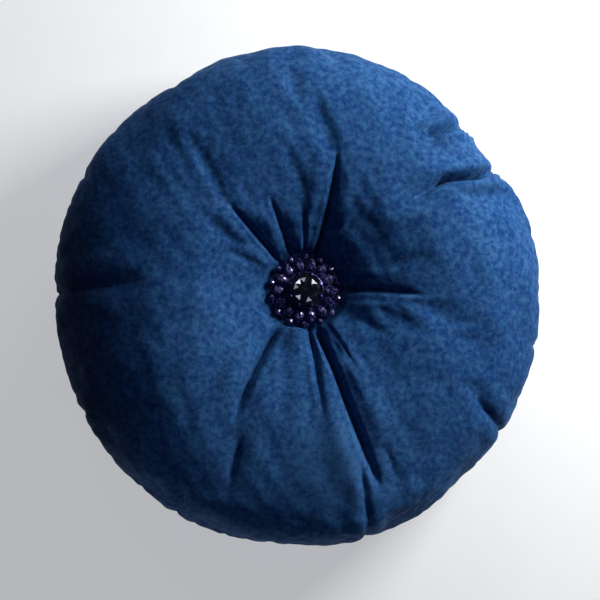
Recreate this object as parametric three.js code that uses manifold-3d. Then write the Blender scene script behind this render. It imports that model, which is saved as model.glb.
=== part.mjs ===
// Round velvet seat cushion, button-tufted through its middle, with a jewelled rosette on the front.
// Millimetres, +Z up. The cushion lies on its back: the origin is the centre of its footprint on the
// floor, the jewelled front faces +Z, and every round piece is turned about the Z axis.
import * as THREE from "three";
import { ConvexGeometry } from "three/addons/geometries/ConvexGeometry.js";
import { mergeVertices } from "three/addons/utils/BufferGeometryUtils.js";
import Module from "manifold-3d";

const wasm = await Module();
wasm.setup();

// ---- driving dimensions ----
const RADIUS = 200; // widest radius, just above and below the edge seam
const HEIGHT = 120; // floor to the crown of the front
const SEAM_Z = 58; // height of the edge seam
const SEAM_VALLEY = 2; // how far the seam sinks in behind the widest radius
const SEAM_GAP = 0.6; // half the gap between the two seam allowances, where the thread lies
const SEAM_ALLOWANCE = 6; // how far the turned-in edge of the velvet reaches from the seam
const VELVET = 1.6; // thickness of the velvet
const CALICO = 0.8; // thickness of the inner case
const GAP = 0.3; // clearance between pieces that touch
const CASE_SEAM_RADIUS = RADIUS - SEAM_VALLEY - SEAM_ALLOWANCE + 0.5;
const SOFT_SEGMENTS = 36; // facets round every nested soft shell, so that the shells nest exactly

const CROWN_RADIUS = 112; // where the front is highest
const FRONT_FLOOR_Z = 82; // velvet under the rosette
const FRONT_FLOOR_RADIUS = 28;
const FRONT_PIT_Z = 77.2; // the velvet pulled in round the rosette's eye
const REST_INNER = 88; // the flat ring of the back that lies on the floor
const REST_OUTER = 130;
const BACK_FLOOR_Z = 30.2; // velvet over the back button
const BACK_FLOOR_RADIUS = 21;
const BACK_PIT_Z = 38.4;
const NEEDLE_HOLE = 2.8; // where the twine pierces velvet and calico
const CHANNEL = 3.2; // the twine's way through the filling

const STRAND = 0.6; // radius of one strand of twine
const BIGHT = 1.6; // half the distance between a bight's two legs
const TWINE_TOP = 70;
const TWINE_BOTTOM = 42;

const EYE_RADIUS = 2.2; // centre line of a button's wire eye
const EYE_WIRE = 0.6;
const STEM_RADIUS = 1.2;
const STEM_HOLE = 1.5;

const PETALS = 14;
const CLAWS = 8;
const ROSETTE_BASE_Z = FRONT_FLOOR_Z + GAP; // underside of the felt
const BASE_RADIUS = 24.6;
const BEAD_CIRCLE = 27.3; // the wire ring that the rim beads are threaded on
const BEAD_RADIUS = 2.8;
const STONE_RADIUS = 13.2;

// Heights in the stack of the rosette, from the velvet up.
const FELT_TOP = ROSETTE_BASE_Z + 1.2;
const PLATE_Z = FELT_TOP + GAP;
const PLATE_TOP = PLATE_Z + 1.2;
const GALLERY_Z = PLATE_TOP + GAP;
const GALLERY_TOP = GALLERY_Z + 0.8;
const CUP_Z = GALLERY_TOP + GAP;
const CUP_FLOOR = CUP_Z + 0.6;
const STONE_Z = CUP_FLOOR + 1.6; // the stone's small bottom facet
const GIRDLE_Z = STONE_Z + 3.7;

// ---- materials ----
const finish = (color, roughness, metalness = 0) =>
  new THREE.MeshStandardMaterial({ color, roughness, metalness });
const velvet = finish(0x163f6e, 0.9);
const calico = finish(0xe6dfcf, 0.95);
const fibre = finish(0xf4f3ef, 1);
const navyThread = finish(0x14305a, 0.8);
const whiteThread = finish(0xdad4c6, 0.85);
const twineMaterial = finish(0x20304a, 0.85);
const gunmetal = finish(0x1c1b26, 0.3, 1);
const aluminium = finish(0xb8babd, 0.4, 1);
const feltMaterial = finish(0x101325, 1);
const indigoJewel = finish(0x17123a, 0.08);
const blackJewel = finish(0x08080b, 0.04);

const root = new THREE.Group();

function add(name, geometry, material, place = () => {}) {
  const mesh = new THREE.Mesh(geometry, material);
  mesh.name = name;
  place(mesh);
  root.add(mesh);
  return mesh;
}

// ---- geometry helpers ----

// A profile of [radius, height] points, turned about +Z. It closes on itself, or starts and ends on the axis.
function turned(profile, segments) {
  const onAxis = profile[0][0] === 0 && profile.at(-1)[0] === 0;
  const loop = onAxis ? profile : [...profile, profile[0]];
  const area = loop.reduce((sum, [r, z], i) => {
    const [nextR, nextZ] = loop[(i + 1) % loop.length];
    return sum + r * nextZ - nextR * z;
  }, 0);
  const points = loop.map(([r, z]) => new THREE.Vector2(r, z));
  if (area < 0) points.reverse();
  return new THREE.LatheGeometry(points, segments).rotateX(Math.PI / 2);
}

// The profile moved sideways by a distance, to its right as it is walked, with mitred corners.
function offset(profile, distance) {
  const unit = (a, b) => {
    const length = Math.hypot(b[0] - a[0], b[1] - a[1]);
    return [(b[0] - a[0]) / length, (b[1] - a[1]) / length];
  };
  return profile.map((point, i) => {
    const before = unit(profile[Math.max(i - 1, 0)], profile[Math.max(i, 1)]);
    const after = unit(
      profile[Math.min(i, profile.length - 2)],
      profile[Math.min(i + 1, profile.length - 1)],
    );
    const mitre = distance / (1 + before[0] * after[0] + before[1] * after[1]);
    return [
      point[0] + mitre * (before[1] + after[1]),
      point[1] - mitre * (before[0] + after[0]),
    ];
  });
}

function solid(geometry) {
  const bare = geometry.index ? geometry.toNonIndexed() : geometry.clone();
  bare.deleteAttribute("normal");
  bare.deleteAttribute("uv");
  const merged = mergeVertices(bare, 1e-3);
  return new wasm.Manifold(
    new wasm.Mesh({
      numProp: 3,
      vertProperties: merged.attributes.position.array,
      triVerts: new Uint32Array(merged.index.array),
    }),
  );
}

function joined(...geometries) {
  const mesh = geometries.map(solid).reduce((sum, piece) => sum.add(piece)).getMesh();
  const geometry = new THREE.BufferGeometry();
  geometry.setAttribute("position", new THREE.BufferAttribute(mesh.vertProperties, 3));
  geometry.setIndex(new THREE.BufferAttribute(mesh.triVerts, 1));
  return geometry;
}

// A closed outline of points, whose radius may vary with the angle.
function outline(count, radiusAt) {
  return Array.from({ length: count }, (_, i) => {
    const angle = (2 * Math.PI * i) / count;
    const radius = radiusAt(angle);
    return new THREE.Vector2(radius * Math.cos(angle), radius * Math.sin(angle));
  });
}

// A round strand along a curve, with closed ends.
function strand(curve, radius, steps, sides) {
  const section = new THREE.Shape(outline(sides, () => radius));
  return new THREE.ExtrudeGeometry(section, { steps, extrudePath: curve });
}

const cylinder = (radius, bottom, top, sides) =>
  turned([[0, bottom], [radius, bottom], [radius, top], [0, top]], sides);

// ---- the cushion's outer shape ----

// The outside of one half in [radius, height] points, from the needle hole out to the seam's edge.
// side is 1 for the front and -1 for the back, and seamRadius is where the half ends.
function half(side, seamRadius) {
  const front = side > 0;
  const pit = front ? FRONT_PIT_Z : BACK_PIT_Z;
  const floor = front ? FRONT_FLOOR_Z : BACK_FLOOR_Z;
  const floorRadius = front ? FRONT_FLOOR_RADIUS : BACK_FLOOR_RADIUS;
  const crown = front ? HEIGHT : 0;
  const crownRadius = front ? CROWN_RADIUS : REST_INNER;
  const rimStart = front ? CROWN_RADIUS : REST_OUTER;
  const points = [[NEEDLE_HOLE, pit], [6, pit], [9, floor], [floorRadius, floor]];
  // The tuft: steep beside the button, level at the crown.
  for (const along of [0.15, 0.4, 0.7, 1]) {
    const rise = 1 - (1 - along) ** 2.2;
    points.push([
      floorRadius + (crownRadius - floorRadius) * along,
      floor + (crown - floor) * rise,
    ]);
  }
  if (rimStart > crownRadius) points.push([rimStart, crown]);
  // The rim: a quarter of a superellipse down to the seam.
  const shoulder = SEAM_Z + side * 4;
  for (const degrees of [28, 50, 70, 90]) {
    const angle = (degrees * Math.PI) / 180;
    points.push([
      rimStart + (seamRadius + SEAM_VALLEY - rimStart) * Math.sin(angle) ** 0.9,
      shoulder + (crown - shoulder) * Math.cos(angle) ** 0.9,
    ]);
  }
  points.push([seamRadius, SEAM_Z + side * SEAM_GAP]);
  return points;
}

// Between two nested surfaces: out along one and back along the other.
function shell(outer, inner) {
  return turned([...outer, ...inner.toReversed()], SOFT_SEGMENTS);
}

// ---- velvet cover: two panels, joined at the edge seam with turned-in allowances ----
const coverSeam = RADIUS - SEAM_VALLEY;
const covers = { 1: half(1, coverSeam), [-1]: half(-1, coverSeam) };

function velvetPanel(side) {
  const lining = offset(covers[side], side * VELVET).slice(0, -1);
  const allowanceEdge = coverSeam - SEAM_ALLOWANCE + VELVET;
  const under = SEAM_Z + side * SEAM_GAP;
  const over = under + side * VELVET;
  const allowance = [[allowanceEdge, under], [allowanceEdge, over], [coverSeam - VELVET, over]];
  return turned([...covers[side], ...allowance, ...lining.toReversed()], SOFT_SEGMENTS);
}
add("front_cover", velvetPanel(1), velvet);
add("back_cover", velvetPanel(-1), velvet);

const seamRing = (radius, wire) => new THREE.TorusGeometry(radius, wire, 4, SOFT_SEGMENTS);
add("edge_seam_thread", seamRing(coverSeam - 2.2, 0.3), navyThread, (mesh) => {
  mesh.position.z = SEAM_Z;
});

// The stuffing opening is closed by hand with a slip stitch, in the valley of the seam.
class SlipStitch extends THREE.Curve {
  getPoint(along) {
    const angle = ((42 + 44 * along) * Math.PI) / 180;
    const stitches = 12;
    const wave = 0.9 * Math.sin(2 * Math.PI * stitches * along);
    const radius = coverSeam + 1.25;
    return new THREE.Vector3(
      radius * Math.cos(angle),
      radius * Math.sin(angle),
      SEAM_Z + wave,
    );
  }
}
add("closing_stitches", strand(new SlipStitch(), 0.3, 48, 4), navyThread);

// ---- inner case of calico, and the fibre that fills it ----
function innerLayer(side, depth) {
  const halfShape = half(side, CASE_SEAM_RADIUS - SEAM_VALLEY);
  return offset(halfShape, side * depth).slice(0, -1);
}
const caseDepth = VELVET + GAP;
const fillDepth = caseDepth + CALICO + GAP;

function calicoPanel(side) {
  const seam = SEAM_Z + side * SEAM_GAP;
  const outer = innerLayer(side, caseDepth);
  const inner = innerLayer(side, caseDepth + CALICO);
  outer.push([outer.at(-1)[0], seam]);
  inner.push([inner.at(-1)[0], seam]);
  return shell(outer, inner);
}
add("inner_case_front", calicoPanel(1), calico);
add("inner_case_back", calicoPanel(-1), calico);
add("inner_case_seam_thread", seamRing(CASE_SEAM_RADIUS - caseDepth + 1, 0.45), whiteThread, (mesh) => {
  mesh.position.z = SEAM_Z;
});

const fillFront = innerLayer(1, fillDepth);
const fillBack = innerLayer(-1, fillDepth);
fillFront[0][0] = CHANNEL;
fillBack[0][0] = CHANNEL;
add("fibre_fill", shell(fillFront, fillBack), fibre);

// ---- tufting twine: a doubled cord through the filling, with a bight through each button's eye ----
add("tufting_twine", cylinder(BIGHT + STRAND, TWINE_BOTTOM, TWINE_TOP, 10), twineMaterial);

// A bight: two legs and a half turn over the wire of an eye. up is 1 when its turn is at the top.
function bight(legEnd, turnCentre, up) {
  const path = new THREE.CurvePath();
  const left = new THREE.Vector3(-BIGHT, 0, legEnd);
  const right = new THREE.Vector3(BIGHT, 0, legEnd);
  const shoulderLeft = new THREE.Vector3(-BIGHT, 0, turnCentre);
  const shoulderRight = new THREE.Vector3(BIGHT, 0, turnCentre);
  const reach = turnCentre + up * BIGHT * 1.34;
  path.add(new THREE.LineCurve3(left, shoulderLeft));
  path.add(
    new THREE.CubicBezierCurve3(
      shoulderLeft,
      new THREE.Vector3(-BIGHT, 0, reach),
      new THREE.Vector3(BIGHT, 0, reach),
      shoulderRight,
    ),
  );
  path.add(new THREE.LineCurve3(shoulderRight, right));
  return strand(path, STRAND, 18, 6);
}
// An eye's lowest or highest wire, and the turn of the bight that hangs on it.
const overWire = EYE_WIRE + 0.2 + STRAND - BIGHT;
const frontEye = PLATE_Z - GAP - EYE_RADIUS - EYE_WIRE;
add("front_twine_loop", bight(TWINE_TOP + GAP, frontEye - EYE_RADIUS + overWire, 1), twineMaterial);

// ---- buttons' eyes: a wire ring on a stem, peened over on the inside ----
function eyeStud(eyeZ, side, headBottom, headTop, headRadius) {
  const eye = new THREE.TorusGeometry(EYE_RADIUS, EYE_WIRE, 6, 16).rotateY(Math.PI / 2);
  eye.translate(0, 0, eyeZ);
  const stemFoot = eyeZ + side * EYE_RADIUS;
  const [low, high] = [Math.min(headBottom, headTop), Math.max(headBottom, headTop)];
  const stem = cylinder(STEM_RADIUS, Math.min(stemFoot, low), Math.max(stemFoot, high), 10);
  return joined(eye, stem, cylinder(headRadius, low, high, 12));
}

// ---- back button: a shell covered in velvet, closed by a plate that carries its eye ----
const BUTTON_RADIUS = 17.9;
const BUTTON_TOP = BACK_FLOOR_Z - 0.6;
const buttonDome = (radius, depth, edgeZ) =>
  [0, 38, 68, 90].map((degrees) => {
    const angle = (degrees * Math.PI) / 180;
    return [radius * Math.sin(angle), edgeZ - depth * Math.cos(angle)];
  });
const domeEdge = BUTTON_TOP - 2.6;
const velvetOutside = buttonDome(BUTTON_RADIUS, 6.6, domeEdge);
const velvetInside = buttonDome(BUTTON_RADIUS - 1.2, 5.4, domeEdge);
const shellOutside = buttonDome(BUTTON_RADIUS - 1.5, 5.1, domeEdge);
const shellInside = buttonDome(BUTTON_RADIUS - 2.3, 4.3, domeEdge);
add(
  "back_button_velvet",
  turned(
    [
      ...velvetOutside,
      [BUTTON_RADIUS - 0.8, BUTTON_TOP - 0.5],
      [BUTTON_RADIUS - 2.5, BUTTON_TOP],
      [BUTTON_RADIUS - 5.5, BUTTON_TOP],
      [BUTTON_RADIUS - 5.5, BUTTON_TOP - 1.2],
      [BUTTON_RADIUS - 1.5, BUTTON_TOP - 1.2],
      ...velvetInside.toReversed(),
    ],
    28,
  ),
  velvet,
);
add("back_button_shell", turned([...shellOutside, ...shellInside.toReversed()], 28), aluminium);
const plateTop = BUTTON_TOP - 1.2 - GAP;
add(
  "back_button_plate",
  turned(
    [
      [STEM_HOLE, plateTop - 0.8],
      [BUTTON_RADIUS - 2.9, plateTop - 0.8],
      [BUTTON_RADIUS - 2.9, plateTop],
      [STEM_HOLE, plateTop],
    ],
    28,
  ),
  aluminium,
);
const backEye = plateTop + GAP + EYE_WIRE + EYE_RADIUS + 0.9;
add("back_button_eye", eyeStud(backEye, -1, plateTop - 0.8 - GAP, plateTop - 1.7, 2.6), aluminium);
add("back_twine_loop", bight(TWINE_BOTTOM - GAP, backEye + EYE_RADIUS - overWire, -1), twineMaterial);

// The twine's two ends are knotted round both strands, between the velvet and the eye.
const knotBottom = backEye + EYE_RADIUS + EYE_WIRE + GAP;
const knotTop = BACK_PIT_Z - GAP;
const knotMiddle = (knotBottom + knotTop) / 2;
add(
  "twine_knot",
  turned(
    [
      [2.6, knotBottom + 0.5],
      [3.2, knotBottom],
      [4.2, knotBottom],
      [5, knotMiddle],
      [4.2, knotTop],
      [3.2, knotTop],
      [2.6, knotTop - 0.5],
    ],
    16,
  ),
  twineMaterial,
);

// ---- jewelled rosette ----
add(
  "rosette_felt",
  turned([[4, ROSETTE_BASE_Z], [24, ROSETTE_BASE_Z], [24, FELT_TOP], [4, FELT_TOP]], 28),
  feltMaterial,
);
add(
  "rosette_plate",
  turned(
    [
      [STEM_HOLE, PLATE_Z],
      [BASE_RADIUS - 1, PLATE_Z],
      [BASE_RADIUS, PLATE_Z + 0.5],
      [BASE_RADIUS - 0.4, PLATE_TOP],
      [STEM_HOLE, PLATE_TOP],
    ],
    28,
  ),
  gunmetal,
);
add("rosette_eye", eyeStud(frontEye, 1, CUP_FLOOR + GAP, CUP_FLOOR + 0.9, 2.3), gunmetal);

// The gallery: a stamped plate with one lobe under each petal stone.
function galleryPlate() {
  const lobed = (angle) => 22.9 + 1.4 * Math.cos(PETALS * angle);
  const plate = new THREE.Shape(outline(PETALS * 4, lobed));
  plate.holes.push(new THREE.Path(outline(10, () => STEM_HOLE)));
  const depth = GALLERY_TOP - GALLERY_Z;
  return new THREE.ExtrudeGeometry(plate, { depth, bevelEnabled: false }).translate(0, 0, GALLERY_Z);
}
add("petal_gallery", galleryPlate(), gunmetal);

// The centre stone's cup, with claws bent over the stone's edge.
const CUP_RIM = GIRDLE_Z + 1.1;
function stoneCup() {
  const cup = turned(
    [
      [STEM_HOLE, CUP_Z],
      [11.6, CUP_Z],
      [14.4, CUP_Z + 3.2],
      [14.6, CUP_RIM],
      [13.6, CUP_RIM],
      [13.6, GIRDLE_Z - 0.5],
      [11, GIRDLE_Z - 1.8],
      [10.4, CUP_FLOOR],
      [STEM_HOLE, CUP_FLOOR],
    ],
    24,
  );
  const claw = new THREE.Shape(
    [
      [13.75, -0.4],
      [14.95, -0.4],
      [14.95, 0.9],
      [12.7, 2.3],
      [12.2, 1.5],
      [13.75, 0.1],
    ].map(([r, z]) => new THREE.Vector2(r, CUP_RIM + z)),
  );
  const width = 1.7;
  const claws = Array.from({ length: CLAWS }, (_, i) =>
    new THREE.ExtrudeGeometry(claw, { depth: width, bevelEnabled: false })
      .translate(0, 0, -width / 2)
      .rotateX(Math.PI / 2)
      .rotateZ((2 * Math.PI * (i + 0.5)) / CLAWS),
  );
  return joined(cup, ...claws);
}
add("stone_cup", stoneCup(), gunmetal);

// A cut stone is the hull of rings of points: each ring is [radius, height, points, turn in steps].
function roundStone(rings) {
  const points = rings.flatMap(([radius, z, count, turn]) =>
    Array.from({ length: count }, (_, i) => {
      const angle = (2 * Math.PI * (i + turn)) / count;
      return new THREE.Vector3(radius * Math.cos(angle), radius * Math.sin(angle), z);
    }),
  );
  return new ConvexGeometry(points);
}
add(
  "centre_stone",
  roundStone([
    [3, STONE_Z, 8, 0],
    [7.5, GIRDLE_Z - 2.4, 8, 0.5],
    [STONE_RADIUS, GIRDLE_Z, 16, 0.5],
    [STONE_RADIUS, GIRDLE_Z + 0.7, 16, 0.5],
    [10.6, GIRDLE_Z + 3.2, 16, 0],
    [7.4, GIRDLE_Z + 4.9, 8, 0.5],
    [4.3, GIRDLE_Z + 5.8, 8, 0],
  ]),
  blackJewel,
);

// Petal stones: marquise cuts that lie radially round the cup, tipped down a little at their outer ends.
const PETAL_LENGTH = 11;
const PETAL_WIDTH = 8;
const PETAL_CENTRE = 20.9;
const PETAL_TIP_DOWN = THREE.MathUtils.degToRad(7);
function petalStone() {
  const across = [0, 0.52, 0.88, 1, 0.88, 0.52];
  const plan = [];
  across.forEach((share, i) => {
    const along = -1 + i / 3;
    plan.push([along, share], [along, -share]);
  });
  plan.push([1, 0]);
  const rings = [[0.4, 0.2], [1, 1.5], [1, 2], [0.66, 3.5], [0.4, 4.1]];
  const points = rings.flatMap(([scale, z]) =>
    plan.map(
      ([along, share]) =>
        new THREE.Vector3((along * scale * PETAL_LENGTH) / 2, (share * scale * PETAL_WIDTH) / 2, z),
    ),
  );
  return new ConvexGeometry(points);
}
const twoDigits = (number) => String(number).padStart(2, "0");
for (let i = 0; i < PETALS; i++) {
  const angle = (2 * Math.PI * i) / PETALS;
  add(`petal_stone_${twoDigits(i + 1)}`, petalStone(), indigoJewel, (mesh) => {
    mesh.rotation.set(0, PETAL_TIP_DOWN, angle, "ZYX");
    mesh.position.set(
      PETAL_CENTRE * Math.cos(angle),
      PETAL_CENTRE * Math.sin(angle),
      GALLERY_TOP + 0.75,
    );
  });
}

// Rim beads: drilled, facetted beads between the petals' tips, threaded on a ring of wire.
const BEAD_Z = GALLERY_TOP + 1.2;
const beadProfile = [[0.75, -2.3], [1.6, -2.45], [2.5, -1.3], [BEAD_RADIUS, 0], [2.5, 1.3], [1.6, 2.45], [0.75, 2.3]];
for (let i = 0; i < PETALS; i++) {
  const angle = (2 * Math.PI * (i + 0.5)) / PETALS;
  // turned() makes the bead along +Z; its hole lies along the wire, so it is laid down first.
  const bead = turned(beadProfile, 8).rotateX(Math.PI / 2);
  add(`rim_bead_${twoDigits(i + 1)}`, bead, indigoJewel, (mesh) => {
    mesh.rotation.z = angle;
    mesh.position.set(BEAD_CIRCLE * Math.cos(angle), BEAD_CIRCLE * Math.sin(angle), BEAD_Z);
  });
}
add("bead_wire", new THREE.TorusGeometry(BEAD_CIRCLE, 0.4, 4, 42), gunmetal, (mesh) => {
  mesh.position.z = BEAD_Z;
});

export default root;
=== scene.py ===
"""Looks for the round velvet cushion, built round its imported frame.

The scene is in metres, +Z up. Lengths in the code are millimetres, and MM turns them into metres.
"""

import math

import bmesh
import bpy
import numpy as np
from mathutils import Matrix, Vector


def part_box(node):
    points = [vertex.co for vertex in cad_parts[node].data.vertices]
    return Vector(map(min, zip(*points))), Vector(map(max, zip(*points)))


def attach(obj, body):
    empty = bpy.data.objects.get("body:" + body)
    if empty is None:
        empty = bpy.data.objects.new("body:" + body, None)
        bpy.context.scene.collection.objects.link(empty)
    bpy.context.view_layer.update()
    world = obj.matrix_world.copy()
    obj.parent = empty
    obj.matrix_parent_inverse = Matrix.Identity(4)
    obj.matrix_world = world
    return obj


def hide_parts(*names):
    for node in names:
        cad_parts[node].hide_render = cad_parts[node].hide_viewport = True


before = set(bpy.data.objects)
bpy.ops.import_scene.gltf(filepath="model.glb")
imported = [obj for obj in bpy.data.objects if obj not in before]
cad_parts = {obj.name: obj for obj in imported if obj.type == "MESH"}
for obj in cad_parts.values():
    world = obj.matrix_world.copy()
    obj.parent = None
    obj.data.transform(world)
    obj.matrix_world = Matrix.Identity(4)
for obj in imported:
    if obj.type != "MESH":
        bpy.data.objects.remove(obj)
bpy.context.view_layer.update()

MM = 0.001
scene = bpy.context.scene


def mm_box(node):
    """A CAD node's lowest and highest corner, in millimetres."""
    low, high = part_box(node)
    return np.array(low) / MM, np.array(high) / MM


def heights(node):
    """A CAD node's lowest and highest Z, in millimetres."""
    low, high = mm_box(node)
    return low[2], high[2]


# ---- sizes, from the frame
RADIUS = mm_box("front_cover")[1][0]
CROWN_Z = heights("front_cover")[1]
SEAM_Z = sum(heights("edge_seam_thread")) / 2
FLOOR_Z = heights("rosette_felt")[0] - 0.3  # the velvet under the rosette
BACK_FLOOR_Z = heights("back_button_velvet")[1] + 0.6  # the velvet over the back button
BACK_BUTTON_R = mm_box("back_button_velvet")[1][0]
FLOOR_R, BACK_FLOOR_R = 28.0, 21.0
CROWN_R, REST_INNER, REST_OUTER = 112.0, 88.0, 130.0
SEAM_VALLEY = 2.0
HOLE_R = 2.8
VELVET_THICK, CALICO_THICK = 1.6, 0.8
CASE_DEPTH = VELVET_THICK + 0.8  # how far the inner case lies below the velvet's outside

SIM_SPOKES, SIM_SPACING = 216, 4.2
SPOKES, SPACING = 576, 2.1


# ---- small maths
def smoothstep(low, high, x):
    t = np.clip((x - low) / (high - low), 0, 1)
    return t * t * (3 - 2 * t)


def curve(x, points):
    """A smooth step-by-step curve through (x, value) points."""
    xs, values = np.array(points, float).T
    i = np.clip(np.searchsorted(xs, x) - 1, 0, len(xs) - 2)
    t = smoothstep(xs[i], xs[i + 1], x)
    return values[i] * (1 - t) + values[i + 1] * t


def wrap(angle):
    return (angle + np.pi) % (2 * np.pi) - np.pi


def ease(line):
    """A line or grid with each inner point moved towards its neighbours."""
    inner = (line[:-2] + 2 * line[1:-1] + line[2:]) / 4
    return np.concatenate([line[:1], inner, line[-1:]])


def resampled(points, length, at):
    """The places at these distances along a line, whose points lie at these lengths."""
    return np.stack([np.interp(at, length, column) for column in np.transpose(points)], 1)


def drawn_in(points, share):
    """Points with their distances from the +Z axis at this share."""
    return points * np.array([share, share, 1.0])


def blur(field, around=1, along=1):
    """Smooths a grid of (ring, spoke) values; the spokes close on themselves."""
    for _ in range(around):
        field = (np.roll(field, 1, 1) + 2 * field + np.roll(field, -1, 1)) / 4
    for _ in range(along):
        field = ease(field)
    return field


def waves(theta, seed, low, high):
    """A random smooth periodic curve with harmonics from low to high, about -1 to 1."""
    random = np.random.default_rng(seed)
    total = np.zeros_like(theta)
    for k in range(low, high + 1):
        total += random.normal() * np.cos(k * theta + random.uniform(0, 2 * np.pi))
    return total / math.sqrt(high - low + 1)


# ---- the cushion's mean shape
def half_profile(side):
    """Dense [radius, height] points of one half's outside, from its needle hole to the edge seam."""
    if side > 0:
        floor, floor_r, pit = FLOOR_Z, FLOOR_R, FLOOR_Z - 4.8
        crown, crown_r, rim_start = CROWN_Z, CROWN_R, CROWN_R
    else:
        floor, floor_r, pit = BACK_FLOOR_Z, BACK_FLOOR_R, BACK_FLOOR_Z + 8.0
        crown, crown_r, rim_start = 0.0, REST_INNER, REST_OUTER
    points = [[HOLE_R, pit], [6, pit], [9, floor], [floor_r, floor]]
    for t in np.linspace(0.02, 1, 40):
        points.append([floor_r + (crown_r - floor_r) * t, floor + (crown - floor) * (1 - (1 - t) ** 2.2)])
    if rim_start > crown_r:
        points.append([rim_start, crown])
    shoulder = SEAM_Z + side * 4
    for degrees in range(4, 91, 2):
        a = math.radians(degrees)
        r = rim_start + (RADIUS - rim_start) * math.sin(a) ** 0.9
        points.append([r, shoulder + (crown - shoulder) * math.cos(a) ** 0.9])
    points += [[RADIUS - 0.5, SEAM_Z + side * 1.7], [RADIUS - SEAM_VALLEY, SEAM_Z + side * 0.35]]
    return np.array(points)


def along_profile(points, spacing):
    """The profile at even spacing, with its corners eased."""
    length = np.concatenate([[0], np.cumsum(np.hypot(*np.diff(points, axis=0).T))])
    count = int(round(length[-1] / spacing)) + 1
    fine = np.linspace(0, length[-1], 1200)
    eased = resampled(points, length, fine)
    for _ in range(60):
        eased = ease(eased)
    return resampled(eased, fine, np.linspace(0, length[-1], count))


class Half:
    """One half of the cushion as a grid of (ring, spoke) points: its mean surface and directions on it."""

    def __init__(self, side, spokes, spacing):
        self.side = side
        self.floor_r = FLOOR_R if side > 0 else BACK_FLOOR_R
        self.folds = FRONT_FOLDS if side > 0 else back_folds()
        profile = along_profile(half_profile(side), spacing)
        slope = np.gradient(profile, axis=0)
        slope /= np.linalg.norm(slope, axis=1, keepdims=True)
        self.r, self.z = profile[:, :1], profile[:, 1:]
        self.theta = np.linspace(0, 2 * np.pi, spokes, endpoint=False)[None, :]
        outward = np.stack([-side * slope[:, 1], side * slope[:, 0]], 1)
        steps = np.hypot(*np.diff(profile, axis=0).T)
        self.to_seam = (steps.sum() - np.concatenate([[0], np.cumsum(steps)]))[:, None]
        c, s = np.cos(self.theta), np.sin(self.theta)
        zero = np.zeros_like(c + self.r)
        self.radial = np.stack([c + zero, s + zero, zero], 2)
        self.around = np.stack([-s + zero, c + zero, zero], 2)
        up = np.zeros_like(self.radial)
        up[..., 2] = 1
        self.normal = outward[:, None, :1] * self.radial + outward[:, None, 1:] * up
        self.along = slope[:, None, :1] * self.radial + slope[:, None, 1:] * up
        self.mean = self.radial * self.r[..., None] + up * self.z[..., None]

    def surface(self, out, along=0.0, around=0.0):
        """The mean surface, moved by these distances outwards, towards the seam, and anticlockwise."""
        points = self.mean
        for step, direction in ((out, self.normal), (along, self.along), (around, self.around)):
            points = points + direction * np.asarray(step)[..., None]
        return points


# ---- folds and puckers
# A fold is a valley with a rolled ridge on each side: (spine, depth, width, ridges). Its spine is
# (radius, degrees) points, its depth is (radius, mm) points, and its ridges are shares of the depth on the
# clockwise and on the anticlockwise side.
FRONT_FOLDS = [
    ([(28, 131.5), (60, 133.5), (100, 134)], [(27, 0), (36, 7), (70, 5.5), (104, 0)], 2.6, (0.15, 0.6)),
    ([(28, 111), (75, 113)], [(27, 0), (36, 5), (60, 4), (80, 0)], 2.6, (0.25, 0.4)),
    ([(28, 91), (60, 92)], [(27, 0), (38, 3.5), (50, 2.6), (66, 0)], 2.4, (0.25, 0.3)),
    ([(28, 73), (60, 74.8), (112, 78)], [(27, 0), (35, 8), (80, 7), (118, 0)], 3.0, (0.2, 0.5)),
    ([(28, 3), (60, -1), (90, -3)], [(27, 0), (36, 6), (70, 4.5), (98, 0)], 3.2, (0.4, 0.25)),
    (
        [(28, -71), (41, -71.5), (81, -71.8), (150, -70)],
        [(27, 0), (36, 11), (102, 9.5), (130, 6), (150, 0)],
        3.6,
        (0.7, 0.4),
    ),
    ([(28, -83), (75, -84)], [(27, 0), (35, 9.5), (60, 8), (96, 0)], 3.8, (0.6, 0.3)),
    ([(40, -125), (80, -122), (108, -119)], [(34, 0), (46, 10.5), (88, 9.5), (112, 0)], 3.8, (0.5, 0.35)),
    ([(116, -114), (155, -111.5)], [(110, 0), (124, 3), (138, 2.6), (150, 0)], 3.0, (0.3, 0.3)),
    ([(30, -56), (80, -60)], [(28, 0), (38, 1.6), (60, 1.0), (80, 0)], 2.6, (0.2, 0.4)),
    ([(118, -74), (150, -75), (200, -75.5)], [(112, 0), (132, 3.2), (188, 2.5), (200, 1)], 2.2, (0.4, 0.3)),
    ([(122, -64.5), (160, -64.5)], [(118, 0), (138, 1.5), (158, 0)], 2.2, (0.3, 0.3)),
    (
        [(90, 42.5), (118, 40), (135, 39.2), (150, 38.7), (162, 36.7), (176, 34.3), (200, 33)],
        [(80, 0), (112, 2), (130, 7), (152, 17), (184, 20), (197, 5)],
        2.6,
        (0.3, 0.3),
    ),
    ([(170, 51.6), (180, 49.4), (200, 46.6)], [(164, 0), (174, 14), (186, 15), (197, 4)], 2.3, (0.3, 0.3)),
    ([(165, -32.5), (200, -34)], [(160, 0), (182, 4.5), (197, 1.4)], 3.2, (0.3, 0.3)),
    ([(170, -121.5), (200, -119.5)], [(164, 0), (184, 4.5), (197, 1.6)], 3.0, (0.3, 0.3)),
    ([(150, 178.5), (200, 180)], [(146, 0), (180, 4), (197, 1.5)], 4.2, (0.25, 0.25)),
]


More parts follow.
